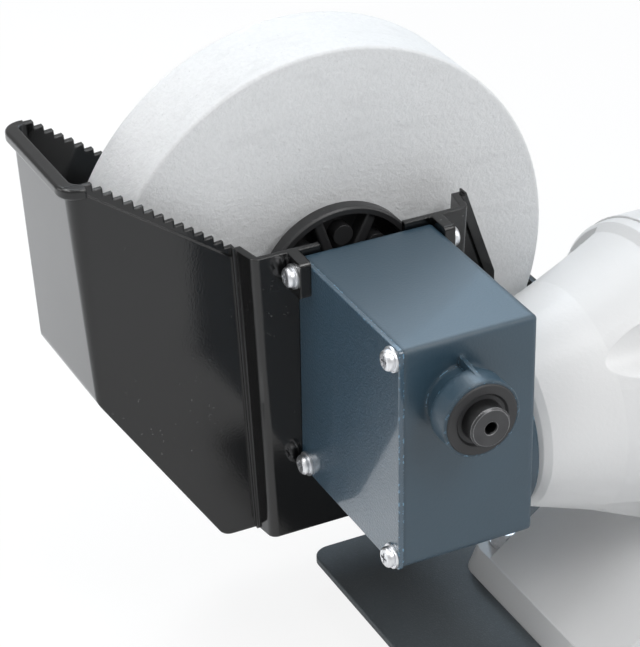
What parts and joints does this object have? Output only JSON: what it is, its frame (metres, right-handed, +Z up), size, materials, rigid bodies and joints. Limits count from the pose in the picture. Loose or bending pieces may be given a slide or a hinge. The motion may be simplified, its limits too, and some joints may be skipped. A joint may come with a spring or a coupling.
{
  "type": "wet sharpening machine",
  "caption": "Bench sharpening machine: slow white wet stone in a black water trough, driven by a worm gearbox on an electric motor, with a guarded dry wheel at the other end.",
  "frame": {"origin": "middle of the overall box at the level of the rubber feet's soles", "axes": "+X along the motor from the wet stone to the dry wheel, +Y towards the operator, from the gearbox to the stone, +Z up"},
  "size_m": [0.4352, 0.2144, 0.265],
  "materials": {
    "plate_paint": "fine textured anthracite powder coat",
    "foot_rubber": "moulded black rubber",
    "zinc_steel": "bright zinc plated",
    "casting_grey": "die-cast, light grey paint",
    "lamination_steel": "stacked electrical sheet",
    "copper_wire": "enamelled copper wire",
    "cage_aluminium": "cast",
    "shaft_steel": "turned, dark oxide",
    "bearing_steel": "ground",
    "can_aluminium": "drawn can",
    "switch_black": "moulded",
    "rocker_red": "moulded",
    "gland_black": "moulded",
    "slate_paint": "slate blue orange-peel enamel",
    "bush_bronze": "sintered bronze",
    "seal_rubber": "moulded black rubber",
    "white_stone": "fine bonded grit",
    "trough_plastic": "semi-gloss moulded",
    "grey_stone": "bonded grit",
    "gear_steel": "machined",
    "rest_steel": "bent plate, zinc plated",
    "knob_plastic": "moulded",
    "clear_shield": "clear polycarbonate sheet"
  },
  "bodies": {
    "frame": {"base_plate": "plate_paint", "rubber_feet": "foot_rubber", "foot_screws": "zinc_steel", "motor_housing": "casting_grey", "pedestal_bolts": "zinc_steel", "pedestal_washers": "zinc_steel", "pedestal_nuts": "zinc_steel", "wet_end_bell": "casting_grey", "dry_end_bell": "casting_grey", "through_bolts": "zinc_steel", "through_nuts": "zinc_steel", "stator_core": "lamination_steel", "stator_winding": "copper_wire", "bearing_outer_rings": "bearing_steel", "bearing_balls": "bearing_steel", "run_capacitor": "can_aluminium", "capacitor_clip": "zinc_steel", "switch_frame": "switch_black", "cable_gland": "gland_black", "gearbox_housing": "slate_paint", "gearbox_cover": "slate_paint", "cover_screws": "zinc_steel", "screw_washers": "zinc_steel", "gearbox_bolts": "zinc_steel", "worm_seal": "seal_rubber", "front_bush": "bush_bronze", "rear_bush": "bush_bronze", "front_seal": "seal_rubber", "rear_seal": "seal_rubber", "water_trough": "trough_plastic", "trough_screws": "zinc_steel", "guard_body": "casting_grey", "guard_cover": "slate_paint", "guard_screws": "zinc_steel", "rest_bracket": "casting_grey", "shield_arm": "knob_plastic"},
    "stone": {"stone_shaft": "shaft_steel", "worm_wheel": "bush_bronze", "wheel_key": "gear_steel", "grinding_stone": "white_stone", "stone_flange_inner": "trough_plastic", "stone_flange_outer": "trough_plastic", "stone_washer": "zinc_steel", "stone_nut": "zinc_steel"},
    "rotor": {"motor_shaft": "gear_steel", "rotor_core": "lamination_steel", "rotor_cage": "cage_aluminium", "bearing_inner_rings": "bearing_steel", "worm": "gear_steel", "worm_nut": "zinc_steel", "dry_wheel": "grey_stone", "dry_flanges": "zinc_steel", "dry_nut": "zinc_steel"},
    "rocker": {"switch_rocker": "rocker_red"},
    "tool_rest": {"tool_rest": "rest_steel"},
    "rest_knob": {"rest_knob": "knob_plastic"},
    "eye_shield": {"shield_holder": "knob_plastic", "eye_shield": "clear_shield"},
    "shield_knob": {"shield_knob": "knob_plastic"}
  },
  "joints": [
    {"name": "motor_spin", "type": "hinge", "parent": "frame", "child": "rotor", "pos_m": [-0.0984, -0.02225, 0.12], "axis": [1, 0, 0], "continuous": true},
    {"name": "stone_spin", "type": "hinge", "parent": "frame", "child": "stone", "pos_m": [-0.0984, 0.04325, 0.165], "axis": [0, 1, 0], "continuous": true},
    {"name": "rocker_tilt", "type": "hinge", "parent": "frame", "child": "rocker", "pos_m": [0.0526, 0.02125, 0.046], "axis": [1, 0, 0], "range_deg": [-22, 0]},
    {"name": "rest_slide", "type": "slide", "parent": "frame", "child": "tool_rest", "axis": [0, 1, 0], "range_m": [0, 0.008]},
    {"name": "rest_knob_turn", "type": "hinge", "parent": "frame", "child": "rest_knob", "pos_m": [0.1866, 0.06925, 0.073], "axis": [0, 0, 1], "range_deg": [0, 180]},
    {"name": "shield_tilt", "type": "hinge", "parent": "frame", "child": "eye_shield", "pos_m": [0.1866, 0.01925, 0.208], "axis": [1, 0, 0], "range_deg": [-15, 75]},
    {"name": "shield_knob_turn", "type": "hinge", "parent": "frame", "child": "shield_knob", "pos_m": [0.1866, 0.01925, 0.208], "axis": [1, 0, 0], "range_deg": [0, 180]}
  ],
  "couplings": [
    {"joint": "stone_spin", "follows": "motor_spin", "ratio": 0.041667}
  ]
}
